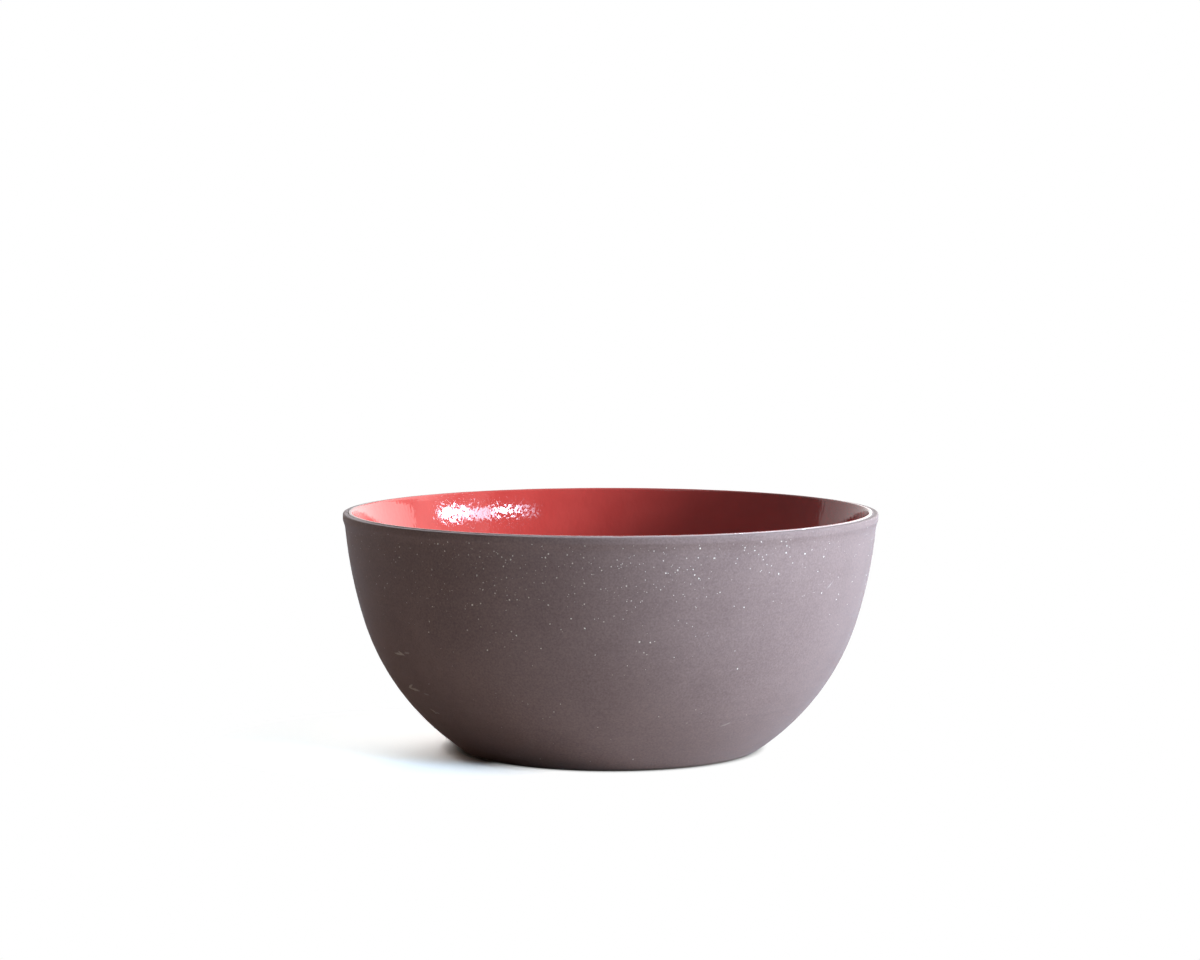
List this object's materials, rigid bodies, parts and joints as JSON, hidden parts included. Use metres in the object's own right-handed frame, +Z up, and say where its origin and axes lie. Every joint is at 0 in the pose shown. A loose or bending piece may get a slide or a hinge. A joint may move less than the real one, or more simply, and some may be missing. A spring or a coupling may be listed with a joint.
{
  "type": "serving bowl",
  "caption": "Deep round serving bowl with a slightly flared lip, a smooth curved wall and a low foot ring; matt dark clay outside, gloss coral-red glaze inside.",
  "frame": {"origin": "on the bowl's axis, in the plane that the foot ring stands on", "axes": "+Z up along the axis of revolution; X and Y are any two directions across the bowl, with -Y towards the picture's camera"},
  "size_m": [0.254, 0.254, 0.1134],
  "materials": {
    "fired_clay": "bare fired clay, matt",
    "burnished_slip": "fine burnished slip, soft sheen",
    "coral_glaze": "gloss glaze"
  },
  "bodies": {
    "root": {"clay_body": "fired_clay", "slip_coat": "burnished_slip", "glaze_lining": "coral_glaze"}
  },
  "joints": []
}
